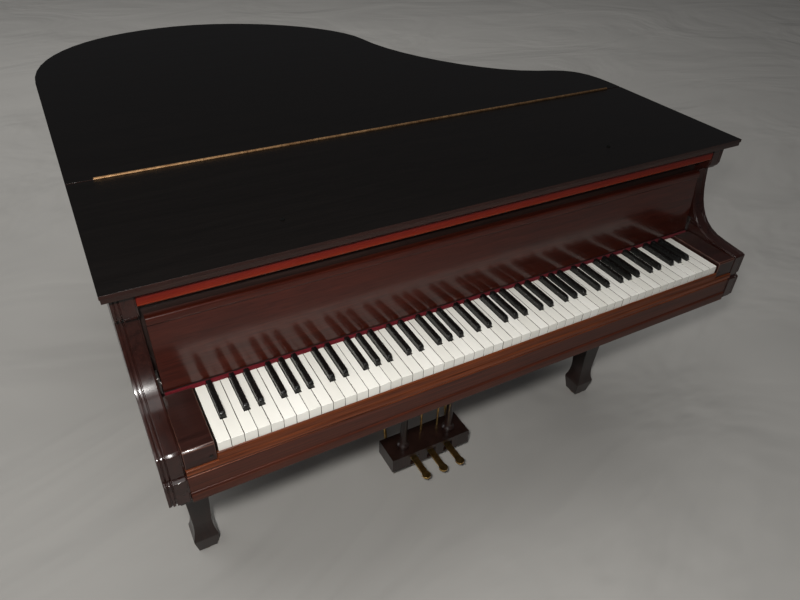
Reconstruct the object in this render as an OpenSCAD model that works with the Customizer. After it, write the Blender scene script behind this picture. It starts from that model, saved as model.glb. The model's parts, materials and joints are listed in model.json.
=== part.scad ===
// Miniature grand piano for a dolls' house, in millimetres at one twelfth of full size.
// The player sits at -Y, the bass end is at -X, and the feet stand on z = 0.

/* [Case] */
// Width of the lid across both sides
lid_w = 120.2; // [116:0.2:124]
// How far the lid stands out past the case on each side
lid_overhang = 1; // [0.8:0.1:1.2]
// Thickness of the curved rim and of the two arms
rim_t = 3.3; // [2.8:0.1:3.6]
// Height of the underside of the case above the floor
case_bottom = 51.4; // [50:0.2:53]
// Height of the top edge of the case above the floor
case_top = 80.4; // [79.6:0.2:81.2]
// Thickness of the lid
lid_t = 1.35; // [1.2:0.05:1.6]

/* [Keyboard] */
// Height of the white key tops above the floor
key_top = 60.4; // [60:0.1:60.8]
// Spacing of the white keys
key_pitch = 1.958; // [1.9:0.01:1.98]
// Length of the fallboard from its foot to its lip
fallboard_len = 13.2; // [12.4:0.1:13.4]
// How far the open fallboard leans back, in degrees
fallboard_lean = 4.5; // [2:0.5:6]

/* [Lids and stands] */
// Distance of the flap seam behind the key fronts
flap_seam = 44; // [43:0.5:46]
// Opening angle of the main lid, in degrees
lid_open = 32; // [26:1:32]
// Length of the lid prop
prop_len = 46; // [42:0.5:46]
// Turn of the lid prop when the lid is open, in degrees
prop_turn = 56; // [50:1:57]
// Height of the music desk
desk_len = 17; // [16:0.5:18]

/* [Legs] */
// Half width of a leg under its collar
leg_half = 3.5; // [3:0.1:3.8]
// Half width of a spade foot at its widest
spade_half = 2.65; // [2.4:0.05:2.8]

/* [Hidden] */

// Colours
mahogany = [0.24, 0.09, 0.06];
dark_wood = [0.09, 0.05, 0.045];
red_wood = [0.55, 0.14, 0.06];
pale_wood = [0.78, 0.6, 0.36];
ivory = [0.95, 0.94, 0.88];
ebony = [0.05, 0.05, 0.05];
brass = [0.78, 0.6, 0.25];
gold = [0.72, 0.55, 0.22];
steel = [0.7, 0.71, 0.73];
copper = [0.72, 0.4, 0.24];
felt_red = [0.6, 0.08, 0.1];

// Heights and depths that several pieces share; y counts back from the key fronts here,
// and placed() then moves the origin to the middle of the footprint
lid_half = lid_w / 2;
case_half = lid_half - lid_overhang;
arm_in = case_half - rim_t;
rim_in = lid_overhang + rim_t;
arm_back = 20;
front_y = -0.75;
tail_y = 133.6;
lid_gap = 0.15;
lid_z = case_top + lid_gap;
lid_top = lid_z + lid_t;
fit = 0.03;

module placed() translate([0, -(front_y + tail_y) / 2, 0]) children();

// A profile drawn in the y-z plane, extruded from x = a to x = b
module across(a, b) translate([a, 0, 0]) rotate([90, 0, 90]) linear_extrude(b - a) children();

// A rod of radius r from point a to point b
module rod(a, b, r, sides = 24) {
    v = b - a;
    translate(a)
        rotate([0, acos(v[2] / norm(v)), atan2(v[1], v[0])])
            cylinder(h = norm(v), r = r, $fn = sides);
}

// A block given by its two opposite corners
module block(a, b) translate(a) cube(b - a);

module both_sides() {
    children();
    mirror([1, 0, 0]) children();
}

// Plan outline of the lid, as Bezier stretches from the bass side round the tail to the treble side
function bez(a, b, c, d, t) =
    pow(1 - t, 3) * a + 3 * pow(1 - t, 2) * t * b + 3 * (1 - t) * t * t * c + pow(t, 3) * d;
function stretch(p, n) = [for (i = [0:n - 1]) bez(p[0], p[1], p[2], p[3], i / n)];
function heading(a) = [sin(a), -cos(a)];
bass_turn = [-lid_half, 97.3];
tail_tip = [-21.5, tail_y];
waist = [21.6, 102.7];
waist_dir = heading(4.6);
shoulder = [49.4, 61.4];
shoulder_dir = heading(70);
treble_turn = [lid_half, 46.8];
tail_stretch = [bass_turn, bass_turn + [0, 21.5], tail_tip - [23, 0], tail_tip];
back_stretch = [tail_tip, tail_tip + [19.6, 0], waist - 14.8 * waist_dir, waist];
waist_stretch = [waist, waist + 16.5 * waist_dir, shoulder - 13.5 * shoulder_dir, shoulder];
cheek_stretch = [shoulder, shoulder + 6 * shoulder_dir, treble_turn + [0, 11.6], treble_turn];
edge_line = concat(stretch(tail_stretch, 14), stretch(back_stretch, 12), stretch(waist_stretch, 10),
                   stretch(cheek_stretch, 8), [treble_turn]);

// The same line moved inwards by d
function edge_dir(i) =
    i == 0 ? [0, 1] :
    i == len(edge_line) - 1 ? [0, -1] :
    (edge_line[i + 1] - edge_line[i - 1]) / norm(edge_line[i + 1] - edge_line[i - 1]);
function inward(i, d) = edge_line[i] + d * [edge_dir(i)[1], -edge_dir(i)[0]];
function side_line(d, y0) =
    concat([[-lid_half + d, y0]], [for (i = [0:len(edge_line) - 1]) inward(i, d)], [[lid_half - d, y0]]);
function reversed(p) = [for (i = [len(p) - 1:-1:0]) p[i]];

module plan(d, y0) polygon(side_line(d, y0));
module band(d_out, d_in, y0) polygon(concat(side_line(d_out, y0), reversed(side_line(d_in, y0))));
module slab(d, y0, z0, z1) translate([0, 0, z0]) linear_extrude(z1 - z0) plan(d, y0);

// A point s steps along the outline, inset by d, and the same counted from the tail: t = 1 at the arm
function edge_point(d, s) =
    let (i = min(floor(s), len(edge_line) - 2), f = s - i)
    (1 - f) * inward(i, d) + f * inward(i + 1, d);
function treble_point(d, t) = edge_point(d, 14 + t * (len(edge_line) - 15));

// ---------- Case ----------

module rim() color(mahogany) placed()
    translate([0, 0, case_bottom]) linear_extrude(case_top - case_bottom)
        band(lid_overhang, rim_in, arm_back);

// Front end of a case side: cornice, hollow neck, flat arm, and a lower band
cornice_y = 12.25;
cornice_z = 76.25;
neck = [14.3, 74.3];
arm_z = 61.75;
neck_curve = [neck, [13.6, 68.5], [12.4, 62.2], [5.2, arm_z]];
module arm_profile(inset) intersection() {
    offset(delta = -inset)
        polygon(concat([[arm_back + 1, case_bottom - 1], [arm_back + 1, case_top + 1], [cornice_y, case_top + 1],
                        [cornice_y, cornice_z], [12.6, 75.4], [13.6, 74.9]],
                       stretch(neck_curve, 10),
                       [[5.2, arm_z], [2, 61.45], [0.15, 61.3], [-0.25, 60.95], [-0.25, 56.65],
                        [-0.05, 56.5], [-0.05, 56.2], [-0.65, 55.95], [-0.65, case_bottom - 1]]));
    translate([-2, case_bottom]) square([arm_back + 2, case_top - case_bottom]);
}

// Steps across the front of an arm, each as distance from the inner face and depth: a fillet along the
// inner edge, then two grooves and a bead along the outer edge
arm_t = case_half - arm_in;
arm_steps = [[0, 0.2], [0.25, 0], [arm_t - 1.2, 0.4], [arm_t - 1, 0.1], [arm_t - 0.6, 0.35], [arm_t - 0.42, 0.18],
             [arm_t, 0]];
module arm()
    for (i = [0:len(arm_steps) - 2])
        across(arm_in + arm_steps[i][0], arm_in + arm_steps[i + 1][0]) arm_profile(arm_steps[i][1]);
module bass_arm() color(mahogany) placed() mirror([1, 0, 0]) arm();
module treble_arm() color(mahogany) placed() arm();

bed_z = 48.3;
bed_top = case_bottom - 0.05;
module key_bed() color(dark_wood) placed()
    block([-case_half + 1.6, 1.6, bed_z], [case_half - 1.6, 42, bed_top]);

// The slip in front of the keys: bottom moulding, flat band, groove and a rounded top edge
slip_top = 58.9;
keys_half = 26 * key_pitch;
module key_slip() color(mahogany) placed() {
    across(-arm_in, arm_in)
        polygon([[1.5, case_bottom - 0.4], [front_y, case_bottom - 0.4], [front_y, 52.5], [-0.6, 52.8],
                 [-0.45, 52.9], [-0.45, 55.95], [-0.3, 56.05], [-0.3, 56.3], [-0.65, 56.5],
                 [-0.65, 57.2], [-0.5, 57.45], [1.5, 57.45]]);
    across(-keys_half - 0.2, keys_half + 0.2)
        polygon([[-0.1, 57.45], [-0.5, 57.45], [-0.5, 58.1], [-0.42, 58.6], [-0.3, slip_top - 0.08],
                 [-0.1, slip_top]]);
}

block_in = keys_half + 0.35;
module key_blocks() color(mahogany) placed() both_sides()
    across(block_in, arm_in - 0.05)
        polygon([[1.55, bed_top], [12, bed_top], [12, 60.4], [11.8, 61.04], [0, 61.04], [-0.25, 60.8],
                 [-0.25, 57.5], [1.55, 57.5]]);
module key_block_screws() color(steel) placed() both_sides()
    translate([block_in + 0.75, -0.25, 58.6]) rotate([90, 0, 0]) cylinder(h = 0.06, r = 0.28, $fn = 24);

// ---------- Keyboard ----------

key_bottom = key_top - 1.9;
key_gap = 0.06;
head_len = 4.15;
key_back = 34;
black_w = 0.875;
black_top = key_top + 1;
sharp_back = 12.05;
// Counted from A: a black key stands after every white key but B and E, and none after the last
function has_black(i) = i >= 0 && i < 51 && i % 7 != 1 && i % 7 != 4;
black_shift = [0.2, 0, -0.17, 0.17, 0, -0.22, 0];
function black_x(i) = (i - 25) * key_pitch + black_shift[i % 7];
function white_x(i) = (i - 26) * key_pitch;

module white_key(i) {
    left = white_x(i) + key_gap / 2;
    right = white_x(i + 1) - key_gap / 2;
    left_tail = has_black(i - 1) ? black_x(i - 1) + black_w / 2 + key_gap : left;
    right_tail = has_black(i) ? black_x(i) - black_w / 2 - key_gap : right;
    translate([0, 0, key_bottom]) linear_extrude(key_top - key_bottom)
        polygon([[left, 0], [right, 0], [right, head_len], [right_tail, head_len],
                 [right_tail, key_back], [left_tail, key_back], [left_tail, head_len], [left, head_len]]);
}
module white_keys() color(ivory) placed() for (i = [0:51]) white_key(i);

module black_key(i)
    across(black_x(i) - black_w / 2, black_x(i) + black_w / 2)
        polygon([[head_len + key_gap, key_bottom], [key_back, key_bottom], [key_back, key_top],
                 [sharp_back, key_top], [sharp_back, black_top], [head_len + 0.65, black_top],
                 [head_len + 0.2, black_top - 0.25], [head_len + key_gap, key_top]]);
module black_keys() color(ebony) placed() for (i = [0:51]) if (has_black(i)) black_key(i);

module key_frame() color(pale_wood) placed() {
    for (y = [2.2, 17, 31]) block([-50.5, y, bed_top], [50.5, y + 2.2, key_bottom]);
    for (x = [-50.5, -17.5, 16, 49]) block([x, 2.2, bed_top], [x + 1.5, 33.2, bed_top + 1.5]);
}

// ---------- Fallboard and the boards round it ----------

board_y = 15.3;
board_t = 1.2;
pivot = [13.3, 62.35];
pin_r = 0.35;
module name_board() color(dark_wood) placed() across(-arm_in, arm_in)
    polygon([[12.46, key_top + 0.1], [board_y + board_t, key_top + 0.1], [board_y + board_t, cornice_z],
             [board_y, cornice_z], [board_y, 61], [12.46, 60.95]]);
module name_felt() color(felt_red) placed()
    block([-arm_in + 0.6, 12.1, key_top + 0.04], [arm_in - 0.6, 12.46, 61.08]);

// Rail between the arms under the lid: a flat face above a hollow
module front_rail() color(red_wood) placed() across(-arm_in, arm_in)
    polygon([[cornice_y, case_top - 0.1], [cornice_y, 77.6], [cornice_y + 0.15, 77.4],
             [cornice_y + 0.5, 77.3], [cornice_y + 0.9, 76.9], [cornice_y + 1.5, 76.4],
             [cornice_y + 2.2, cornice_z], [board_y + board_t, cornice_z],
             [board_y + board_t, case_top - 0.1]]);

// The fallboard, drawn upright about its pivot pins, with a rounded lip along its top edge
face_y = -0.7;
back_y = 0.65;
foot_z = -1.1;
lip_h = 1.45;
lip_t = 0.25;
fallboard_half = arm_in - 0.6;
module fallboard_place() placed() translate([0, pivot[0], pivot[1]]) rotate([-fallboard_lean, 0, 0]) children();
lip_z = foot_z + fallboard_len;
function arc(c, r, a0, a1, n) = [for (i = [0:n]) c + r * [cos(a0 + (a1 - a0) * i / n), sin(a0 + (a1 - a0) * i / n)]];
module fallboard() color(mahogany) fallboard_place() difference() {
    across(-fallboard_half, fallboard_half)
        polygon(concat([[face_y, foot_z], [back_y, foot_z]],
                       arc([back_y - 0.3, lip_z - 0.3], 0.3, 0, 90, 4),
                       arc([face_y - lip_t + 0.4, lip_z - 0.4], 0.4, 90, 180, 6),
                       arc([face_y - lip_t + 0.3, lip_z - lip_h + 0.3], 0.3, 180, 240, 3),
                       [[face_y, lip_z - lip_h + 0.05]]));
    both_sides() translate([fallboard_half - 1.2, 0, 0]) rotate([0, 90, 0]) cylinder(h = 2, r = pin_r, $fn = 32);
}
module fallboard_pins() color(brass) fallboard_place() both_sides()
    translate([fallboard_half - 1.2, 0, 0]) rotate([0, 90, 0]) cylinder(h = 1.75, r = pin_r, $fn = 32);
module pivot_plates() color(brass) placed() both_sides() difference() {
    block([arm_in - 0.45, 12.3, 61.1], [arm_in, 14.35, 64.2]);
    translate([arm_in - 1, pivot[0], pivot[1]]) rotate([0, 90, 0]) cylinder(h = 2, r = pin_r + fit, $fn = 32);
}

// ---------- Frame under the strings ----------

belly_y = 42.5;
board_z = 66.4;
module belly_rail() color(pale_wood) placed()
    block([-arm_in, belly_y, case_bottom], [arm_in, belly_y + 2.4, board_z]);

// Braces fan from the belly rail to the curved rim, with a block for the tail leg
tail_leg_at = [-21.5, 112];
module braces() color(pale_wood) placed() {
    intersection() {
        slab(rim_in, belly_y + 2.4, case_bottom, 56.5);
        union() {
            for (a = [[-38, -50], [-16, -28], [6, -6], [24, 14]])
                hull() {
                    translate([a[0], belly_y, case_bottom]) cube([3, 1, 5.1]);
                    translate([a[1], 132, case_bottom]) cube([3, 1, 5.1]);
                }
            block([-60, 76, case_bottom], [60, 79, 56.4]);
        }
    }
    block([tail_leg_at[0] - 6, tail_leg_at[1] - 6, bed_z],
          [tail_leg_at[0] + 6, tail_leg_at[1] + 6, case_bottom]);
}

sound_t = 0.4;
module soundboard() color(pale_wood) placed() slab(rim_in, belly_y, board_z, board_z + sound_t);

pin_block_y = 17.5;
plate_z = 68;
plate_t = 0.8;
plate_top = plate_z + plate_t;
module pin_block() color(pale_wood) placed() difference() {
    block([-arm_in, pin_block_y, 64.5], [arm_in, 39.5, plate_z]);
    pin_field(64.4, plate_z + 1);
}

// Iron plate: a front web over the pin block, a flange round the rim, and struts above the strings
flange_in = 8.6;
web_back = 42.2;
plate_edge = rim_in + 0.2;
strut_z = 72.9;
strut_t = 0.8;
strut_w = 1.4;
strut_foot = 0.9;
strut_after = [15, 33, 49, 62];
strut_turn = [-2, -1.5, -5, -7];
module plate() color(gold) placed() {
    difference() {
        union() {
            translate([0, 0, board_z + sound_t]) linear_extrude(plate_top - board_z - sound_t)
                band(plate_edge, flange_in, belly_y);
            block([-lid_half + plate_edge, pin_block_y, plate_z], [lid_half - plate_edge, web_back, plate_top]);
            block([-lid_half + plate_edge, web_back, plate_z], [-lid_half + flange_in, belly_y + 1, plate_top]);
            block([lid_half - flange_in, web_back, plate_z], [lid_half - plate_edge, belly_y + 1, plate_top]);
        }
        pin_field(plate_z - 1, plate_top + 1);
        for (x = [-46:9.2:46]) translate([x - 2.6, 33.6, plate_z - 1]) cube([5.2, 2.6, plate_t + 2]);
    }
    block([-lid_half + flange_in, bar_y - 0.5, plate_top], [lid_half - flange_in, bar_y + 0.5, bar_top]);
    translate([0, 0, plate_top]) linear_extrude(bar_top - plate_top)
        polygon(concat(ledge_line(7.6), reversed(ledge_line(8.4))));
    struts();
}

// Each strut stands on a foot between two strings and on a foot on the flange at the far rim
module struts() for (k = [0:3]) {
    near = [(pin_at(strut_after[k])[0] + pin_at(strut_after[k] + 1)[0]) / 2, bar_y];
    far = strut_far(near[0] + strut_turn[k]);
    translate([near[0] - strut_foot / 2, near[1] - 0.5, plate_top]) cube([strut_foot, 1, strut_z - plate_top]);
    translate([far[0] - strut_w / 2, far[1] - 0.5, plate_top]) cube([strut_w, 1, strut_z - plate_top]);
    translate([near[0], near[1], strut_z]) rotate([0, 0, -atan2(far[0] - near[0], far[1] - near[1])])
        translate([-strut_w / 2, -0.5, 0]) cube([strut_w, norm(far - near) + 1, strut_t]);
}
// Where a strut that ends at x meets the middle of the flange
function strut_far(x) = line_at([for (s = [1:0.25:44]) edge_point(6.8, s)], x);
function line_at(line, x) =
    let (k = [for (j = [1:len(line) - 1]) if (line[j][0] >= x && line[j - 1][0] < x) j][0],
         a = line[k - 1], b = line[k])
    a + (b - a) * (x - a[0]) / (b[0] - a[0]);

module plate_bolts() color(brass) placed() {
    for (t = [0.06:0.11:0.95]) translate(concat(treble_point(5.4, t), [plate_top])) cylinder(h = 0.35, r = 0.42, $fn = 6);
    for (y = [50:12:98]) translate([-lid_half + 5.6, y, plate_top]) cylinder(h = 0.35, r = 0.42, $fn = 6);
    for (x = [-50:10:50]) translate([x, 38.6, plate_top]) cylinder(h = 0.35, r = 0.42, $fn = 6);
}

// Tuning pins in three staggered rows; a string runs back from each
pin_n = 78;
pin_d = 0.4;
function pin_at(i) = [-51.5 + 103 * i / (pin_n - 1), 24.5 + 3 * (i % 3)];
module pin_field(z0, z1)
    for (i = [0:pin_n - 1]) translate([pin_at(i)[0], pin_at(i)[1], z0]) cylinder(h = z1 - z0, r = pin_d / 2, $fn = 16);
module tuning_pins() color(steel) placed() pin_field(64.6, plate_top + 1.7);

// Strings run from their pins over the bar on the plate to the ledge on the far flange
bar_y = web_back - 1.7;
bar_top = 70;
string_bottom = bar_top + 0.01;
bass_n = 22;
steel_r = 0.07;
bass_r = 0.12;
hitch_line = [for (s = [1:0.25:44]) edge_point(8, s)];
function ledge_line(d) = [for (s = [2:0.5:42.5]) edge_point(d, s)];
module string(i, r, dark_r) {
    x = pin_at(i)[0];
    z = string_bottom + r;
    rod([x, pin_at(i)[1] + pin_d / 2 + 0.05, plate_top + 0.5], [x, bar_y - 0.1, z], dark_r, 13);
    rod([x, bar_y + 0.1, z], [x, line_at(hitch_line, x)[1], z], r, 13);
}
module treble_strings() color(steel) placed() for (i = [bass_n:pin_n - 1]) string(i, steel_r, steel_r);
module bass_strings() color(copper) placed() for (i = [0:bass_n - 1]) string(i, bass_r, steel_r);

// Bridge on the soundboard, under the far part of the strings
bridge_bottom = board_z + sound_t;
function bridge_line(d) = [for (s = [3.5:1.5:38]) edge_point(d, s)];
module bridges() color(pale_wood) placed()
    translate([0, 0, bridge_bottom]) linear_extrude(bar_top - bridge_bottom)
        polygon(concat(bridge_line(12.2), reversed(bridge_line(13.8))));

// A damper stands on each string of the bass and the tenor
damper_n = 58;
damper_y = 47;
function damper_low(i) = string_bottom + 2 * (i < bass_n ? bass_r : steel_r);
module dampers() color(ebony) placed() for (i = [0:damper_n - 1])
    translate([pin_at(i)[0] - 0.42, damper_y, damper_low(i) + 0.45]) cube([0.84, 2.2, 0.7]);
module damper_felts() color([0.88, 0.87, 0.82]) placed() for (i = [0:damper_n - 1])
    translate([pin_at(i)[0] - 0.35, damper_y + 0.1, damper_low(i)]) cube([0.7, 2, 0.45]);

// ---------- Music shelf and desk ----------

shelf_z = 76.3;
shelf_top = 77.2;
shelf_y = 16.7;
shelf_back = 37;
module shelf_rails() color(dark_wood) placed() both_sides() block([arm_in - 1.2, shelf_y, 75.3], [arm_in, 43.5, shelf_z]);
module music_shelf() color(mahogany) placed() block([-arm_in + 0.4, shelf_y, shelf_z], [arm_in - 0.4, shelf_back, shelf_top]);

desk_hinge = [18.9, 77.95];
desk_half = 30;
desk_z = [77.5, 78.4];
desk_pin_r = 0.22;
strut_at = 7;
strut_len = 8.3;
strut_half = 4;
module desk_pins() color(brass) placed() both_sides() {
    block([desk_half + 0.15, desk_hinge[0] - 0.6, shelf_top], [desk_half + 1, desk_hinge[0] + 0.6, desk_hinge[1] + 0.5]);
    translate([desk_half - 1, desk_hinge[0], desk_hinge[1]]) rotate([0, 90, 0]) cylinder(h = 1.5, r = desk_pin_r, $fn = 24);
}
// Open desk panel: a middle window for the strut and two fretted windows on each side
module music_desk() color(mahogany) placed() difference() {
    block([-desk_half, desk_hinge[0] - 0.4, desk_z[0]], [desk_half, desk_hinge[0] - 0.4 + desk_len, desk_z[1]]);
    block([-strut_half - 0.4, desk_hinge[0] + strut_at - 1, 77], [strut_half + 0.4, desk_hinge[0] + strut_at + strut_len + 0.3, 79]);
    both_sides() for (x = [6.2, 17.8])
        translate([x, desk_hinge[0] + 3, 77]) linear_extrude(2)
            polygon([[1, 0], [9.4, 0], [10.4, 2], [10.4, 8], [9.4, 10], [5.2, 11.4], [1, 10], [0, 8], [0, 2]]);
    both_sides() translate([desk_half - 1.2, desk_hinge[0], desk_hinge[1]]) rotate([0, 90, 0])
        cylinder(h = 2, r = desk_pin_r + fit, $fn = 24);
    translate([-strut_half - 1.4, desk_hinge[0] + strut_at, desk_hinge[1]]) rotate([0, 90, 0])
        cylinder(h = 2 * strut_half + 2.8, r = 0.2 + fit, $fn = 24);
}
// U-shaped strut that folds into the middle window, with its pin cast on
module desk_strut() color(brass) placed() {
    difference() {
        block([-strut_half, desk_hinge[0] + strut_at - 0.3, desk_z[0] + 0.15],
              [strut_half, desk_hinge[0] + strut_at + strut_len, desk_z[1] - 0.15]);
        block([-strut_half + 0.8, desk_hinge[0] + strut_at + 0.7, 77],
              [strut_half - 0.8, desk_hinge[0] + strut_at + strut_len - 0.8, 79]);
    }
    translate([-strut_half - 1.2, desk_hinge[0] + strut_at, desk_hinge[1]]) rotate([0, 90, 0])
        cylinder(h = 2 * strut_half + 2.4, r = 0.2, $fn = 24);
}

// ---------- Lids ----------

lid_step = 0.12;
lid_lower_t = 0.75;
seam_gap = 0.12;
knuckle_r = 0.28;
knuckle_z = lid_top + 0.1;
knuckle_half = 55.8;
lid_front = 10.1;
module lid_slab(y0) {
    slab(0, y0, lid_z + lid_lower_t, lid_top);
    slab(lid_step, y0, lid_z, lid_z + lid_lower_t);
}
module knuckle_trough() translate([-knuckle_half - 0.1, flap_seam, knuckle_z]) rotate([0, 90, 0])
    cylinder(h = 2 * knuckle_half + 0.2, r = knuckle_r + 0.04, $fn = 32);
module lid_main() color(dark_wood) placed() difference() {
    lid_slab(flap_seam + seam_gap);
    knuckle_trough();
}
module lid_flap() color(dark_wood) placed() difference() {
    union() {
        block([-lid_half, lid_front, lid_z + lid_lower_t], [lid_half, flap_seam - seam_gap, lid_top]);
        block([-lid_half + lid_step, lid_front + lid_step, lid_z],
              [lid_half - lid_step, flap_seam - seam_gap, lid_z + lid_lower_t]);
    }
    knuckle_trough();
}

// Piano hinge: knuckles of the two leaves alternate along one pin
knuckle_n = 31;
knuckle_len = 2 * knuckle_half / knuckle_n;
leaf_t = 0.08;
flap_pin_r = 0.1;
module flap_leaf(parity, y0) difference() {
    union() {
        for (i = [parity:2:knuckle_n - 1]) translate([-knuckle_half + i * knuckle_len + 0.03, 0, 0]) {
            translate([0, flap_seam, knuckle_z]) rotate([0, 90, 0]) cylinder(h = knuckle_len - 0.06, r = knuckle_r, $fn = 24);
            translate([0, y0, lid_top - 0.5]) cube([knuckle_len - 0.06, leaf_t, 0.55]);
        }
        translate([-knuckle_half, y0, lid_top - 1]) cube([2 * knuckle_half, leaf_t, 0.5]);
    }
    translate([-knuckle_half - 1, flap_seam, knuckle_z]) rotate([0, 90, 0])
        cylinder(h = 2 * knuckle_half + 2, r = flap_pin_r + 0.02, $fn = 24);
}
module flap_hinge_main_leaf() color(brass) placed() flap_leaf(0, flap_seam + seam_gap - leaf_t);
module flap_hinge_flap_leaf() color(brass) placed() flap_leaf(1, flap_seam - seam_gap);
module flap_hinge_pin() color(brass) placed() translate([-knuckle_half, flap_seam, knuckle_z]) rotate([0, 90, 0])
    cylinder(h = 2 * knuckle_half, r = flap_pin_r, $fn = 24);

// Rubber buttons that the folded flap rests on, and that the closed lid rests on
module flap_bumpers() color(ebony) placed() both_sides()
    translate([32.7, 18.6, lid_top]) cylinder(h = 0.17, r = 0.35, $fn = 24);
module lid_bumpers() color(ebony) placed() {
    for (y = [34, 50]) both_sides() translate([lid_half - 2.6, y, case_top]) cylinder(h = lid_gap, r = 0.5, $fn = 24);
    for (t = [0.1, 0.4, 0.75]) translate(concat(treble_point(2.6, t), [case_top])) cylinder(h = lid_gap, r = 0.5, $fn = 24);
}

// Three butt hinges on the bass side; the axis lies just outside the rim
lid_axis = [-case_half - 0.45, case_top - 0.25];
butt_ys = [26, 60, 90];
butt_len = 5;
butt_r = 0.38;
butt_pin_r = 0.16;
module butt_knuckle(y0, y1) difference() {
    translate([lid_axis[0], y0, lid_axis[1]]) rotate([-90, 0, 0]) cylinder(h = y1 - y0, r = butt_r, $fn = 32);
    translate([lid_axis[0], y0 - 1, lid_axis[1]]) rotate([-90, 0, 0]) cylinder(h = y1 - y0 + 2, r = butt_pin_r + 0.02, $fn = 24);
}
module lid_hinge_case_leaves() color(brass) placed() for (y = butt_ys) {
    butt_knuckle(y - 0.8, y + 0.8);
    block([-case_half - 0.2, y - butt_len / 2, lid_axis[1] - 2.6], [-case_half, y + butt_len / 2, lid_axis[1] - 0.4]);
    block([-case_half - 0.2, y - 0.8, lid_axis[1] - 0.5], [-case_half, y + 0.8, lid_axis[1]]);
}
module lid_hinge_lid_leaves() color(brass) placed() for (y = butt_ys) {
    for (s = [-1, 1]) {
        butt_knuckle(y + s * 1.675 - 0.825, y + s * 1.675 + 0.825);
        block([lid_axis[0] + 0.2, y + s * 1.675 - 0.825, lid_z - 0.12], [-case_half, y + s * 1.675 + 0.825, lid_z]);
    }
    block([-case_half, y - butt_len / 2, lid_z - 0.12], [-case_half + 2.4, y + butt_len / 2, lid_z]);
}
module lid_hinge_pins() color(brass) placed() for (y = butt_ys)
    translate([lid_axis[0], y - butt_len / 2, lid_axis[1]]) rotate([-90, 0, 0]) cylinder(h = butt_len, r = butt_pin_r, $fn = 24);

// Lid prop: it lies towards the tail beside the curved rim and swings up as the lid opens.
// Its own frame has X along the resting stick and Z the way it rises.
prop_pivot = [22.3, 79.6, 76.3];
prop_dir = [-cos(57), sin(57), 0];
prop_lean = 40;
prop_up = let (w = [-sin(prop_lean), 0, cos(prop_lean)], v = w - (w * prop_dir) * prop_dir) v / norm(v);
prop_side = cross(prop_up, prop_dir);
module prop_frame() placed() multmatrix([
    [prop_dir[0], prop_side[0], prop_up[0], prop_pivot[0]],
    [prop_dir[1], prop_side[1], prop_up[1], prop_pivot[1]],
    [prop_dir[2], prop_side[2], prop_up[2], prop_pivot[2]],
    [0, 0, 0, 1]]) children();
prop_pin_r = 0.25;
module lid_prop() color(mahogany) prop_frame() difference() {
    union() {
        block([0, -0.55, -0.5], [prop_len - 0.5, 0.55, 0.5]);
        rotate([90, 0, 0]) cylinder(h = 1.1, r = 0.7, center = true, $fn = 32);
        translate([prop_len - 0.5, 0, 0]) rotate([90, 0, 0]) cylinder(h = 1.1, r = 0.5, center = true, $fn = 32);
    }
    rotate([90, 0, 0]) cylinder(h = 3, r = prop_pin_r + fit, center = true, $fn = 24);
}
// Fork on a post that stands on the plate flange
module prop_bracket() color(brass) {
    prop_frame() {
        for (s = [-1, 1]) translate([0, s * 0.8, 0]) rotate([90, 0, 0]) cylinder(h = 0.35, r = 0.7, center = true, $fn = 32);
        for (s = [-1, 1]) translate([-0.7, s * 0.8 - 0.175, -1.5]) cube([1.4, 0.35, 1.5]);
        block([-0.7, -0.97, -1.6], [0.7, 0.97, -0.9]);
        rotate([90, 0, 0]) cylinder(h = 1.9, r = prop_pin_r, center = true, $fn = 24);
    }
    placed() translate([prop_pivot[0] + 0.75, prop_pivot[1] + 0.3, plate_top])
        cylinder(h = prop_pivot[2] - 1.1 - plate_top, r = 0.6, $fn = 32);
}
// Block under the lid that takes the prop's tip: the tip's open place, turned back with the lid
prop_tip = prop_pivot + prop_len * (cos(prop_turn) * prop_dir + sin(prop_turn) * prop_up);
tip_x = prop_tip[0] - lid_axis[0];
tip_z = prop_tip[2] - lid_axis[1];
tip_rest = [lid_axis[0] + tip_x * cos(lid_open) + tip_z * sin(lid_open), prop_tip[1],
            lid_axis[1] - tip_x * sin(lid_open) + tip_z * cos(lid_open)];
module prop_block() color(mahogany) placed() translate([0, tip_rest[1], tip_rest[2]])
    across(tip_rest[0] - 1.5, tip_rest[0] + 1.5)
        polygon([[-2.2, lid_z - tip_rest[2]], [-2.2, 0.2], [-0.8, 0.2], [1.5, 1.3], [1.5, lid_z - tip_rest[2]]]);

// ---------- Legs ----------

leg_ats = [[-53.4, 28.3], [53.4, 28.3], tail_leg_at];
glide_h = 0.5;
leg_top = bed_z;
// Half width of a leg against height: collar, tapered shaft, hollow flare, and spade foot
leg_outline = [[leg_half + 0.45, leg_top], [leg_half + 0.45, leg_top - 2.6], [leg_half + 0.1, leg_top - 3],
               [leg_half + 0.1, leg_top - 3.5], [leg_half + 0.4, leg_top - 3.7], [leg_half + 0.4, leg_top - 4.3],
               [leg_half, leg_top - 4.6], [1.97, 9.6], [2, 8.4], [2.1, 7.2], [2.3, 6.1], [spade_half, 5],
               [spade_half, 4.4], [2, glide_h]];
module leg_profile() polygon(concat(leg_outline, [for (p = reversed(leg_outline)) [-p[0], p[1]]]));
module leg(at) placed() translate([at[0], at[1], 0]) intersection() {
    translate([0, 5, 0]) rotate([90, 0, 0]) linear_extrude(10) leg_profile();
    translate([-5, 0, 0]) rotate([90, 0, 90]) linear_extrude(10) leg_profile();
}
module bass_leg() color(dark_wood) leg(leg_ats[0]);
module treble_leg() color(dark_wood) leg(leg_ats[1]);
module tail_leg() color(dark_wood) leg(leg_ats[2]);
module foot_glides() color(brass) placed() for (at = leg_ats)
    translate([at[0], at[1], 0]) cylinder(h = glide_h, r = 1.7, $fn = 48);

// ---------- Lyre and pedals ----------

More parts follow.
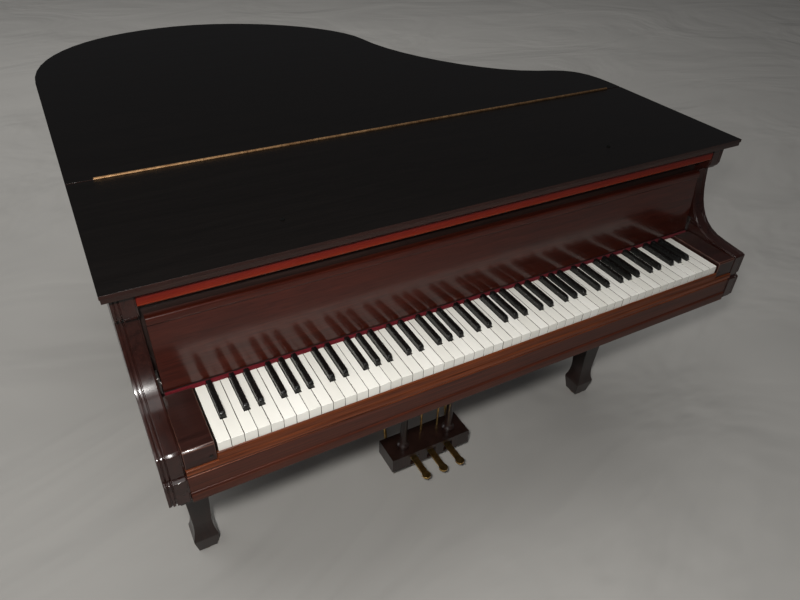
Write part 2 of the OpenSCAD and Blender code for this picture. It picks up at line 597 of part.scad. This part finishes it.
lyre_y = 24;
box_z = [7.4, 11.4];
box_half = 10.5;
post_x = 6.2;
pedal_xs = [-4.6, 0, 4.6];
pedal_pivot = [24.6, 9.3];
pedal_pin_r = 0.3;
rod_y = 26.4;
// Top block with two turned posts
module lyre() color(dark_wood) placed() {
    block([-9, lyre_y - 2.2, bed_z - 1.4], [9, lyre_y + 1.9, bed_z]);
    both_sides() translate([post_x, lyre_y, box_z[1]]) rotate_extrude($fn = 48)
        polygon([[0, 0], [1.5, 0], [1.5, 1], [1, 1.6], [0.85, 3], [0.8, 20], [0.85, 31.5], [1.3, 33.2], [1.3, 34.2],
                 [0.9, 34.7], [0.9, bed_z - 1.4 - box_z[1]], [0, bed_z - 1.4 - box_z[1]]]);
}
module pedal_box() color(dark_wood) placed() difference() {
    block([-box_half, lyre_y - 3, box_z[0]], [box_half, lyre_y + 4, box_z[1]]);
    block([-box_half + 1, lyre_y - 2, box_z[0] - 1], [box_half - 1, lyre_y + 3.2, box_z[1] - 0.8]);
    for (x = pedal_xs) block([x - 1.15, lyre_y - 4, box_z[0] + 0.35], [x + 1.15, lyre_y, box_z[1] - 1]);
    for (x = pedal_xs) translate([x, rod_y, 9]) cylinder(h = 4, r = 0.32, $fn = 24);
    translate([-box_half + 0.4, pedal_pivot[0], pedal_pivot[1]]) rotate([0, 90, 0])
        cylinder(h = 2 * box_half - 0.8, r = pedal_pin_r, $fn = 32);
}
// Brass pedal: a bored heel behind the pivot and a rounded toe in front
module pedal(x) color(brass) placed() difference() {
    union() {
        translate([x - 0.75, 15.6, 9.05]) cube([1.5, 11.4, 0.5]);
        translate([x, 15.6, 9.05]) cylinder(h = 0.5, r = 1.05, $fn = 48);
        translate([x - 0.75, pedal_pivot[0], pedal_pivot[1]]) rotate([0, 90, 0]) cylinder(h = 1.5, r = 0.65, $fn = 32);
    }
    translate([x - 2, pedal_pivot[0], pedal_pivot[1]]) rotate([0, 90, 0]) cylinder(h = 4, r = pedal_pin_r + fit, $fn = 32);
}
module left_pedal() pedal(pedal_xs[0]);
module middle_pedal() pedal(pedal_xs[1]);
module right_pedal() pedal(pedal_xs[2]);
// Rod from the heel of a pedal up behind the lyre to the key bed
module lift_rod(x) color(brass) placed() translate([x, rod_y, 9.58]) cylinder(h = bed_z - 0.2 - 9.58, r = 0.25, $fn = 24);
module left_rod() lift_rod(pedal_xs[0]);
module middle_rod() lift_rod(pedal_xs[1]);
module right_rod() lift_rod(pedal_xs[2]);
module pedal_axle() color(brass) placed() translate([-box_half + 0.4, pedal_pivot[0], pedal_pivot[1]])
    rotate([0, 90, 0]) cylinder(h = 2 * box_half - 0.8, r = pedal_pin_r, $fn = 32);
// Two stays from the back of the box to the key bed
module lyre_stays() color(brass) placed() both_sides()
    rod([8.5, lyre_y + 4.345, 10.6], [8.5, 38, bed_z - 0.09], 0.35);

rim();
bass_arm();
treble_arm();
key_bed();
key_slip();
key_blocks();
key_block_screws();
key_frame();
white_keys();
black_keys();
name_board();
name_felt();
pivot_plates();
fallboard();
fallboard_pins();
front_rail();
belly_rail();
braces();
soundboard();
bridges();
pin_block();
plate();
plate_bolts();
tuning_pins();
treble_strings();
bass_strings();
dampers();
damper_felts();
shelf_rails();
music_shelf();
desk_pins();
music_desk();
desk_strut();
lid_bumpers();
lid_hinge_case_leaves();
lid_hinge_lid_leaves();
lid_hinge_pins();
lid_main();
lid_flap();
flap_hinge_main_leaf();
flap_hinge_flap_leaf();
flap_hinge_pin();
flap_bumpers();
prop_bracket();
lid_prop();
prop_block();
bass_leg();
treble_leg();
tail_leg();
foot_glides();
lyre();
lyre_stays();
pedal_box();
pedal_axle();
left_pedal();
middle_pedal();
right_pedal();
left_rod();
middle_rod();
right_rod();
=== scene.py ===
# Miniature grand piano for a dolls' house: the looks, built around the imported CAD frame.
# Lengths are in metres. The player sits at -Y and the bass end is at -X.
import json
import math

import bmesh
import bpy
from mathutils import Matrix, Vector

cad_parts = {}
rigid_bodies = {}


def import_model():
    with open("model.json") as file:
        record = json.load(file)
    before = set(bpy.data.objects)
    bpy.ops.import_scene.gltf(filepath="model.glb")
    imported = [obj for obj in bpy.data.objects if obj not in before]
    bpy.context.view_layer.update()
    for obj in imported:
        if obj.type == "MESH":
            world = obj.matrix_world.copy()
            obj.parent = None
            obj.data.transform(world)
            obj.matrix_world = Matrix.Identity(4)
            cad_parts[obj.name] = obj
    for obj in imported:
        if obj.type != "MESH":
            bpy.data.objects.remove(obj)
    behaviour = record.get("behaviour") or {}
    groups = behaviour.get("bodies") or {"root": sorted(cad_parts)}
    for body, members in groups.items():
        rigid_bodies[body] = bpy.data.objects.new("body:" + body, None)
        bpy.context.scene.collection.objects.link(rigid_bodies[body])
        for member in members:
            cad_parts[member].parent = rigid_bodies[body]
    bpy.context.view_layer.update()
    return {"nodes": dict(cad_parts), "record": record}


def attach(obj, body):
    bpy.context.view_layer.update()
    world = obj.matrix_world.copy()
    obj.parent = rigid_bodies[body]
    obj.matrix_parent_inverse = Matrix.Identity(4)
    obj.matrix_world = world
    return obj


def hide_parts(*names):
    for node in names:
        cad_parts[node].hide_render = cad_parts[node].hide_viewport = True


for leftover in list(bpy.data.objects):
    bpy.data.objects.remove(leftover)
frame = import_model()
nodes = frame["nodes"]
body_of_node = {}
for body, members in frame["record"]["behaviour"]["bodies"].items():
    for node in members:
        body_of_node[node] = body


# ---------- Materials ----------

def shown(sockets, name):
    """The one socket of this name that the node's present settings use."""
    return [socket for socket in sockets if socket.name == name and socket.enabled][0]


class Nodes:
    """A material and short ways to add and join its nodes."""

    def __init__(self, name):
        self.material = bpy.data.materials.new(name)
        self.material.use_nodes = True
        self.tree = self.material.node_tree
        self.tree.nodes.clear()
        self.output = self.add("ShaderNodeOutputMaterial")
        self.shader = self.add("ShaderNodeBsdfPrincipled")
        self.join(self.shader, "BSDF", self.output, "Surface")
        self.place = self.add("ShaderNodeTexCoord")

    def add(self, kind, **values):
        node = self.tree.nodes.new(kind)
        for key, value in values.items():
            setattr(node, key, value)
        return node

    def join(self, source, out, target, into):
        self.tree.links.new(source.outputs[out], target.inputs[into])

    def set(self, **values):
        """Sets constant values on the shader, with underscores for the spaces in their names."""
        for key, value in values.items():
            self.shader.inputs[key.replace("_", " ")].default_value = value

    def noise(self, scale, detail=4.0, rough=0.55, distortion=0.0):
        """Noise in object coordinates; scale gives its steps per metre along each axis."""
        mapping = self.add("ShaderNodeMapping")
        mapping.inputs["Scale"].default_value = scale
        self.join(self.place, "Object", mapping, "Vector")
        noise = self.add("ShaderNodeTexNoise")
        noise.inputs["Scale"].default_value = 1.0
        noise.inputs["Detail"].default_value = detail
        noise.inputs["Roughness"].default_value = rough
        noise.inputs["Distortion"].default_value = distortion
        self.join(mapping, "Vector", noise, "Vector")
        return noise

    def position(self, axis, low, high):
        """Runs from 0 to 1 between two places along an axis of the object."""
        split = self.add("ShaderNodeSeparateXYZ")
        self.join(self.place, "Object", split, "Vector")
        span = self.add("ShaderNodeMapRange")
        span.inputs["From Min"].default_value = low
        span.inputs["From Max"].default_value = high
        self.join(split, axis, span, "Value")
        return span

    def ramp(self, source, out, stops):
        ramp = self.add("ShaderNodeValToRGB")
        while len(ramp.color_ramp.elements) < len(stops):
            ramp.color_ramp.elements.new(0.5)
        for element, (at, colour) in zip(ramp.color_ramp.elements, stops):
            element.position = at
            element.color = (*colour, 1.0)
        self.join(source, out, ramp, "Fac")
        return ramp

    def colour(self, base, shade=None):
        """Colours the shader with one ramp, multiplied by a second one where it is given."""
        if shade is None:
            self.join(base, "Color", self.shader, "Base Color")
            return
        mix = self.add("ShaderNodeMix", data_type="RGBA", blend_type="MULTIPLY")
        shown(mix.inputs, "Factor").default_value = 1.0
        self.tree.links.new(base.outputs["Color"], shown(mix.inputs, "A"))
        self.tree.links.new(shade.outputs["Color"], shown(mix.inputs, "B"))
        self.tree.links.new(shown(mix.outputs, "Result"), self.shader.inputs["Base Color"])

    def roughness(self, source, low, high):
        span = self.add("ShaderNodeMapRange")
        span.inputs["To Min"].default_value = low
        span.inputs["To Max"].default_value = high
        self.join(source, "Fac", span, "Value")
        self.join(span, "Result", self.shader, "Roughness")

    def bump(self, source, depth, strength=0.5):
        bump = self.add("ShaderNodeBump")
        bump.inputs["Strength"].default_value = strength
        bump.inputs["Distance"].default_value = depth
        self.join(source, "Fac", bump, "Height")
        self.join(bump, "Normal", self.shader, "Normal")


WHITE = (1.0, 1.0, 1.0)

# Steps of wood grain per metre along X, Y and Z: the fibres lie along the axis with few steps
ALONG_X = (180, 3600, 3600)
ALONG_Y = (3600, 180, 3600)
ALONG_Z = (3600, 3600, 180)
ROUND_RIM = (220, 220, 3600)
SPRUCE_GRAIN = (3600, 260, 3600)
LONG_STREAKS = (60, 4200, 4200)


def grey(value):
    return (value, value, value)


def scaled(numbers, factor):
    return tuple(number * factor for number in numbers)


def wood(name, dark, light, grain, rough, coat, coat_rough, specular=0.5, figure=0.5, pores=0.00002):
    """Wood with fine fibres, slow figure that darkens it by up to that share, open pores and lacquer."""
    n = Nodes(name)
    fibre = n.noise(grain, detail=8, rough=0.7, distortion=0.3)
    broad = n.noise(scaled(grain, 0.12), detail=3, distortion=1.2)
    base = n.ramp(fibre, "Fac", [(0.3, dark), (0.72, light)])
    shade = n.ramp(broad, "Fac", [(0.3, grey(1 - figure)), (0.7, WHITE)])
    n.colour(base, shade)
    n.roughness(broad, *rough)
    n.bump(fibre, pores)
    n.set(Specular_IOR_Level=specular, Coat_Weight=coat, Coat_Roughness=coat_rough)
    return n.material


def rail_wood(name, foot, top):
    """Red wood between two heights, with painted shade darkening it towards the lid and in the cove below,
    and a pale orange line along its lower arris that is partly wear and partly painted highlight.
    """
    n = Nodes(name)
    fibre = n.noise(ALONG_X, detail=8, rough=0.7, distortion=0.3)
    base = n.ramp(fibre, "Fac", [(0.3, (0.16, 0.04, 0.01)), (0.72, (0.27, 0.062, 0.014))])
    height = n.position("Z", foot, top)
    # Painted light: this ramp darkens the rail towards the lid as painted shade of the lid's overhang,
    # darkens the cove below as painted shade, and pales the lower arris, partly wear and partly painted
    # highlight.
    wear = n.ramp(height, "Result", [
        (0.18, (0.3, 0.1, 0.2)),
        (0.22, (0.85, 0.75, 0.8)),
        (0.27, (0.72, 0.42, 0.5)),
        (0.36, (0.58, 0.2, 0.3)),
        (0.6, (0.46, 0.13, 0.3)),
        (1.0, (0.36, 0.1, 0.3)),
    ])
    n.colour(base, wear)
    n.roughness(fibre, 0.35, 0.5)
    n.bump(fibre, 0.00002)
    n.set(Specular_IOR_Level=0.15, Coat_Weight=0.08, Coat_Roughness=0.2)
    return n.material


def metal(name, dark, light, rough=(0.2, 0.4), scale=(2500, 2500, 2500), depth=0.000004, metallic=1.0):
    """Metal with slow patches of tarnish and a fine uneven polish."""
    n = Nodes(name)
    patches = n.noise(scaled(scale, 0.25), detail=6, rough=0.7)
    fine = n.noise(scale, detail=5)
    n.colour(n.ramp(patches, "Fac", [(0.32, dark), (0.68, light)]))
    n.roughness(fine, *rough)
    n.bump(fine, depth, 0.4)
    n.set(Metallic=metallic)
    return n.material


def felt(name, dark, light, sheen):
    """Felt or rubber: matt, with fine short fibres."""
    n = Nodes(name)
    fibres = n.noise((6000, 6000, 6000), detail=8, rough=0.8)
    n.colour(n.ramp(fibres, "Fac", [(0.3, dark), (0.7, light)]))
    n.roughness(fibres, 0.85, 1.0)
    n.bump(fibres, 0.00006, 0.8)
    n.set(Sheen_Weight=sheen, Sheen_Roughness=0.5, Specular_IOR_Level=0.1)
    return n.material


def key_cover(name, dark, light, rough, coat, coat_rough, stain, specular=0.5):
    """Key coverings: each key has a slightly different tone, with stains and fine wear in the polish."""
    n = Nodes(name)
    island = n.add("ShaderNodeNewGeometry")
    tone = n.ramp(island, "Random Per Island", [(0.0, dark), (1.0, light)])
    stains = n.noise((300, 120, 300), detail=5, rough=0.6)
    shade = n.ramp(stains, "Fac", [(0.3, grey(1 - stain)), (0.6, WHITE)])
    n.colour(tone, shade)
    wear = n.noise((3000, 900, 3000), detail=5)
    n.roughness(wear, *rough)
    n.bump(wear, 0.000004)
    n.set(Coat_Weight=coat, Coat_Roughness=coat_rough, Specular_IOR_Level=specular)
    return n.material


# Heights at which a piece changes colour
SLIP_BEAD_Z = 0.05595
LID_STEP_Z = 0.0811
# LIP_UNDERSIDE_Z bounds the rounding under the fallboard's lip that is painted dark as shade.
LIP_UNDERSIDE_Z = (0.073, 0.07325)
# RAIL_Z spans the rail's painted shade towards the lid and in its cove, and its pale arris line.
RAIL_Z = (0.0765, 0.0803)

M = {
    "lid": wood("lid_wood", dark=(0.0025, 0.002, 0.0018), light=(0.005, 0.0036, 0.003), grain=ALONG_X,
                rough=(0.3, 0.42), coat=0.1, coat_rough=0.3, specular=0.14, figure=0.2, pores=0.000006),
    "lid_edge": wood("lid_edge_wood", dark=(0.01, 0.0036, 0.0028), light=(0.028, 0.0085, 0.006),
                     grain=ALONG_X, rough=(0.25, 0.4), coat=0.2, coat_rough=0.2, specular=0.3),
    "case": wood("case_wood", dark=(0.012, 0.004, 0.003), light=(0.034, 0.012, 0.008), grain=ROUND_RIM,
                 rough=(0.28, 0.42), coat=0.3, coat_rough=0.12, specular=0.4),
    "arm": wood("arm_wood", dark=(0.014, 0.0034, 0.0025), light=(0.034, 0.009, 0.006), grain=ALONG_Y,
                rough=(0.22, 0.36), coat=0.5, coat_rough=0.14, specular=0.25),
    "fall": wood("fallboard_wood", dark=(0.022, 0.0038, 0.0022), light=(0.058, 0.0108, 0.0056), grain=ALONG_X,
                 rough=(0.25, 0.35), coat=0.8, coat_rough=0.14, specular=0.1, figure=0.35, pores=0.000004),
    # Painted shade: near-black unlacquered wood for the rounding under the fallboard's lip, standing in for
    # the shadow there.
    "under_lip": wood("lip_painted_shade_wood", dark=(0.004, 0.0015, 0.001), light=(0.01, 0.003, 0.002),
                      grain=ALONG_X, rough=(0.5, 0.6), coat=0.0, coat_rough=0.3, specular=0.1),
    "rail": rail_wood("rail_wood", *RAIL_Z),
    "slip": wood("slip_wood", dark=(0.022, 0.004, 0.0022), light=(0.23, 0.058, 0.018), grain=LONG_STREAKS,
                 rough=(0.28, 0.42), coat=0.12, coat_rough=0.2, specular=0.22, figure=0.35),
    "low_slip": wood("low_slip_wood", dark=(0.016, 0.0036, 0.0026), light=(0.1, 0.024, 0.011),
                     grain=LONG_STREAKS, rough=(0.28, 0.42), coat=0.12, coat_rough=0.2, specular=0.22,
                     figure=0.35),
    "block": wood("block_wood", dark=(0.014, 0.0036, 0.0027), light=(0.034, 0.0095, 0.0065), grain=ALONG_X,
                  rough=(0.25, 0.38), coat=0.15, coat_rough=0.12, specular=0.3),
    # Partly wear and partly painted highlight: paler wood on the bevelled arrises of the key blocks.
    "edge": wood("worn_edge_and_painted_highlight", dark=(0.05, 0.018, 0.012), light=(0.14, 0.06, 0.04), grain=ALONG_X,
                 rough=(0.25, 0.4), coat=0.4, coat_rough=0.2),
    "leg": wood("leg_wood", dark=(0.012, 0.005, 0.004), light=(0.03, 0.012, 0.009), grain=ALONG_Z,
                rough=(0.28, 0.42), coat=0.3, coat_rough=0.15, specular=0.4),
    "bed": wood("bed_wood", dark=(0.01, 0.005, 0.004), light=(0.025, 0.011, 0.008), grain=ALONG_X,
                rough=(0.4, 0.55), coat=0.1, coat_rough=0.3),
    "spruce": wood("spruce", dark=(0.36, 0.21, 0.095), light=(0.58, 0.38, 0.19), grain=SPRUCE_GRAIN,
                   rough=(0.35, 0.5), coat=0.3, coat_rough=0.2, figure=0.2),
    "maple": wood("maple", dark=(0.34, 0.2, 0.1), light=(0.52, 0.33, 0.17), grain=ALONG_X,
                  rough=(0.4, 0.55), coat=0.15, coat_rough=0.3, figure=0.25),
    # Partly real and partly painted shade: the wooden sides and undersides of the white keys, darkened so
    # that the gaps between keys read as shade.
    "key_side_wood_and_painted_shade": wood("key_side_wood_and_painted_shade", dark=(0.035, 0.02, 0.01), light=(0.09, 0.05, 0.026), grain=ALONG_Y,
                     rough=(0.6, 0.8), coat=0.0, coat_rough=0.3),
    "ivory": key_cover("white_key", dark=(0.7, 0.69, 0.635), light=(0.78, 0.77, 0.72),
                       rough=(0.26, 0.38), coat=0.4, coat_rough=0.12, stain=0.06),
    "ebony": key_cover("black_key", dark=(0.003, 0.003, 0.0028), light=(0.0055, 0.0054, 0.005),
                       rough=(0.22, 0.32), coat=0.15, coat_rough=0.08, stain=0.3, specular=0.28),
    "brass": metal("brass", dark=(0.36, 0.2, 0.06), light=(0.78, 0.53, 0.2), rough=(0.22, 0.42)),
    "old_brass": metal("worn_brass", dark=(0.16, 0.085, 0.04), light=(0.36, 0.22, 0.11), rough=(0.42, 0.6)),
    "steel": metal("steel", dark=(0.32, 0.32, 0.33), light=(0.62, 0.62, 0.63), rough=(0.25, 0.42)),
    "worn_steel": metal("worn_steel", dark=(0.05, 0.045, 0.04), light=(0.5, 0.48, 0.46), rough=(0.25, 0.45)),
    "dark_steel": metal("dark_steel", dark=(0.03, 0.028, 0.026), light=(0.09, 0.085, 0.08), rough=(0.3, 0.5)),
    "copper": metal("copper", dark=(0.4, 0.17, 0.08), light=(0.7, 0.34, 0.19), rough=(0.28, 0.4),
                    scale=(2500, 9000, 2500)),
    "bronze": metal("bronzed_iron", dark=(0.32, 0.2, 0.07), light=(0.55, 0.37, 0.15), rough=(0.34, 0.5),
                    scale=(1600, 1600, 1600), depth=0.00002, metallic=0.75),
    "red_felt": felt("red_felt", dark=(0.055, 0.003, 0.006), light=(0.14, 0.008, 0.014), sheen=0.05),
    "white_felt": felt("white_felt", dark=(0.5, 0.48, 0.42), light=(0.72, 0.7, 0.63), sheen=0.6),
    "rubber": felt("rubber", dark=grey(0.001), light=grey(0.003), sheen=0.0),
}


# ---------- Pieces made from the CAD shapes ----------

# Points closer than WELD are joined; the angles are in degrees
WELD = 1e-7
FLAT_ANGLE = 0.1
ARRIS_ANGLE = 35.0
FACE_WEIGHT = 80

# How far a face's direction must run along an axis for the face to count as facing that way
FACING = 0.7


def solid_of(node, flat_angle):
    """A copy of a CAD node's mesh with its points joined and its flat faces whole."""
    mesh = bmesh.new()
    mesh.from_mesh(nodes[node].data)
    bmesh.ops.remove_doubles(mesh, verts=mesh.verts, dist=WELD)
    bmesh.ops.dissolve_limit(mesh, angle_limit=math.radians(flat_angle), verts=mesh.verts, edges=mesh.edges)
    return mesh


def round_arrises(made, width, segments, edge):
    """Bevels the sharp edges; edge is the material number of the bevels, or None to keep their faces' own."""
    rounding = made.modifiers.new("arrises", "BEVEL")
    rounding.width = width
    rounding.segments = segments
    rounding.limit_method = "ANGLE"
    rounding.angle_limit = math.radians(ARRIS_ANGLE)
    rounding.use_clamp_overlap = True
    if edge is not None:
        rounding.material = edge
    bpy.context.view_layer.objects.active = made
    made.select_set(True)
    bpy.ops.object.modifier_apply(modifier=rounding.name)
    made.select_set(False)


def refined(node, materials, bevel=0.0, segments=2, edge=None, smooth=35.0, flat_angle=FLAT_ANGLE,
            choose=None):
    """Makes the visible piece of a CAD node, riding on the node's body.
    bevel rounds the arrises, smooth is the angle in degrees from which an edge stays sharp, and choose
    picks the material number of each face from its middle and its direction."""
    name = node + "_piece"
    mesh = solid_of(node, flat_angle)
    if choose:
        mesh.normal_update()
        for face in mesh.faces:
            face.material_index = choose(face.calc_center_median(), face.normal)
    data = bpy.data.meshes.new(name)
    mesh.to_mesh(data)
    mesh.free()
    made = bpy.data.objects.new(name, data)
    bpy.context.scene.collection.objects.link(made)
    for material in materials:
        data.materials.append(M[material])
    for face in data.polygons:
        face.use_smooth = True
    if bevel:
        round_arrises(made, bevel, segments, edge)
    made.data.set_sharp_from_angle(angle=math.radians(smooth))
    level = made.modifiers.new("level_shading", "WEIGHTED_NORMAL")
    level.keep_sharp = True
    level.weight = FACE_WEIGHT
    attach(made, body_of_node[node])
    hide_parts(node)


def lid_bands(middle, way):
    """0 above and below the lid, 1 on the upper band of its edge, and 2 on the band set back below it."""
    if abs(way.z) > FACING:
        return 0
    return 1 if middle.z > LID_STEP_Z else 2


def slip_bands(middle, way):
    """0 on the rounded top of the key slip, 1 on the bands below it."""
    return 0 if middle.z > SLIP_BEAD_Z else 1


def key_sides(middle, way):
    """1 on the sides and underside of a key, which take wood darkened as painted shade, 0 on its top and
    front.
    """
    return 1 if abs(way.x) > FACING or way.z < -FACING else 0


def under_lip(middle, way):
    """1 on the rounding under the fallboard's lip, painted dark as shade, 0 elsewhere."""
    low, high = LIP_UNDERSIDE_Z
    faces_front = way.y < 0.1
    faces_down = way.z < -0.2
    return 1 if low < middle.z < high and faces_front and faces_down else 0


# Case, keyboard surround and fallboard
refined("rim", ["case"], bevel=0.00025, segments=3)
for side in ("bass_arm", "treble_arm"):
    refined(side, ["arm"], bevel=0.00005, flat_angle=0.05)
refined("key_bed", ["bed"], bevel=0.0001)
refined("key_slip", ["slip", "low_slip"], bevel=0.00007, choose=slip_bands)
# The key blocks' bevels take the paler arris wood, partly wear and partly painted highlight.
refined("key_blocks", ["block", "edge"], bevel=0.0001, segments=3, edge=1)
refined("name_board", ["bed"], bevel=0.00005)
refined("fallboard", ["fall", "under_lip"], smooth=40, choose=under_lip)
refined("front_rail", ["rail"], bevel=0.00005)

# Lid, prop and music desk
for name in ("lid_main", "lid_flap"):
    refined(name, ["lid", "lid_edge", "case"], bevel=0.0001, segments=3, choose=lid_bands)
for name in ("prop_block", "lid_prop"):
    refined(name, ["case"], bevel=0.0001)
refined("shelf_rails", ["bed"], bevel=0.0001)
refined("music_shelf", ["case"], bevel=0.00012)
refined("music_desk", ["case"], bevel=0.0001)

# Legs and lyre
for name in ("bass_leg", "treble_leg", "tail_leg"):
    refined(name, ["leg"], bevel=0.00016, segments=3, smooth=30)
refined("lyre", ["leg"], bevel=0.00008)
refined("pedal_box", ["leg"], bevel=0.0002, segments=3)

# Frame and soundboard
for name in ("belly_rail", "braces"):
    refined(name, ["maple"], bevel=0.0001)
refined("soundboard", ["spruce"])
refined("bridges", ["maple"], bevel=0.0001)
refined("pin_block", ["maple"])
refined("key_frame", ["maple"], bevel=0.0001)

# Keys
refined("white_keys", ["ivory", "key_side_wood_and_painted_shade"], bevel=0.00006, segments=3, choose=key_sides)
refined("black_keys", ["ebony"], bevel=0.00016, segments=3)

# Metal
for name in ("desk_pins", "prop_bracket", "desk_strut", "lyre_stays", "pedal_axle", "left_pedal",
             "middle_pedal", "right_pedal", "left_rod", "middle_rod", "right_rod"):
    refined(name, ["brass"], bevel=0.00003)
for name in ("lid_hinge_case_leaves", "lid_hinge_lid_leaves", "lid_hinge_pins", "foot_glides"):
    refined(name, ["old_brass"], bevel=0.00003)
for name in ("flap_hinge_main_leaf", "flap_hinge_flap_leaf", "flap_hinge_pin"):
    refined(name, ["old_brass"])
refined("plate", ["bronze"], bevel=0.00012)
refined("plate_bolts", ["steel"], bevel=0.00006)
refined("tuning_pins", ["steel"], bevel=0.00004)
refined("treble_strings", ["steel"])
refined("bass_strings", ["copper"])
refined("pivot_plates", ["worn_steel"], bevel=0.00004)
refined("fallboard_pins", ["worn_steel"], bevel=0.00003)
refined("key_block_screws", ["dark_steel"], bevel=0.00002)

# Dampers, felt and rubber
refined("dampers", ["ebony"], bevel=0.00008)
refined("damper_felts", ["white_felt"], bevel=0.00004)
refined("name_felt", ["red_felt"], bevel=0.00005)
for name in ("lid_bumpers", "flap_bumpers"):
    refined(name, ["rubber"], bevel=0.00003)


# ---------- Stage, light and camera ----------

HALF_FLOOR = 2.0


def cloth(name, near, far):
    """Draped cloth: soft folds, paler from the front of the piano towards its tail."""
    n = Nodes(name)
    n.colour(n.ramp(n.position("Y", -0.05, 0.3), "Result", [(0.0, near), (1.0, far)]))
    folds = n.noise((9, 14, 9), detail=3, rough=0.45, distortion=1.5)
    n.bump(folds, 0.012)
    n.set(Roughness=0.8, Specular_IOR_Level=0.1)
    return n.material


corners = [(-HALF_FLOOR, -HALF_FLOOR, 0), (HALF_FLOOR, -HALF_FLOOR, 0), (HALF_FLOOR, HALF_FLOOR, 0),
           (-HALF_FLOOR, HALF_FLOOR, 0)]
floor_mesh = bpy.data.meshes.new("floor")
floor_mesh.from_pydata(corners, [], [(0, 1, 2, 3)])
floor_mesh.materials.append(cloth("pale_cloth", near=(0.42, 0.41, 0.39), far=(0.72, 0.7, 0.66)))
floor = bpy.data.objects.new("floor", floor_mesh)
bpy.context.scene.collection.objects.link(floor)

world = bpy.data.worlds.new("studio")
world.use_nodes = True
world.node_tree.nodes["Background"].inputs["Color"].default_value = (0.93, 0.95, 1.0, 1.0)
world.node_tree.nodes["Background"].inputs["Strength"].default_value = 0.055
bpy.context.scene.world = world
bpy.context.scene.view_settings.view_transform = "Standard"


def softbox(name, at, towards, size, power, colour):
    data = bpy.data.lights.new(name, "AREA")
    data.shape = "RECTANGLE"
    data.size, data.size_y = size
    data.energy = power
    data.color = colour
    lamp = bpy.data.objects.new(name, data)
    lamp.location = at
    lamp.rotation_euler = (Vector(towards) - Vector(at)).to_track_quat("-Z", "Y").to_euler()
    bpy.context.scene.collection.objects.link(lamp)


camera_at = Vector((-0.059644, -0.130811, 0.131150))
camera_along = Vector((0.401075, 0.695372, -0.596318))
camera_roll = math.radians(2.32)
flash_at = camera_at + Vector((-0.009, -0.002, 0.014))

softbox("flash", at=flash_at, towards=(0.0, -0.03, 0.05), size=(0.009, 0.006), power=0.175,
        colour=(1.0, 0.98, 0.95))
softbox("overhead", at=(-0.08, 0.02, 0.6), towards=(-0.03, 0.0, 0.03), size=(0.5, 0.5), power=1.45,
        colour=(1.0, 0.99, 0.97))
softbox("left_fill", at=(-0.55, 0.4, 0.22), towards=(-0.03, 0.05, 0.05), size=(0.3, 0.3), power=0.45,
        colour=(0.97, 0.98, 1.0))

camera_data = bpy.data.cameras.new("camera")
camera_data.sensor_width = 36.0
camera_data.lens = 29.29
camera_data.clip_start = 0.005
camera_data.clip_end = 20.0
camera = bpy.data.objects.new("camera", camera_data)
turn = camera_along.to_track_quat("-Z", "Y").to_matrix().to_4x4() @ Matrix.Rotation(camera_roll, 4, "Z")
camera.matrix_world = Matrix.Translation(camera_at) @ turn
bpy.context.scene.collection.objects.link(camera)
bpy.context.scene.camera = camera
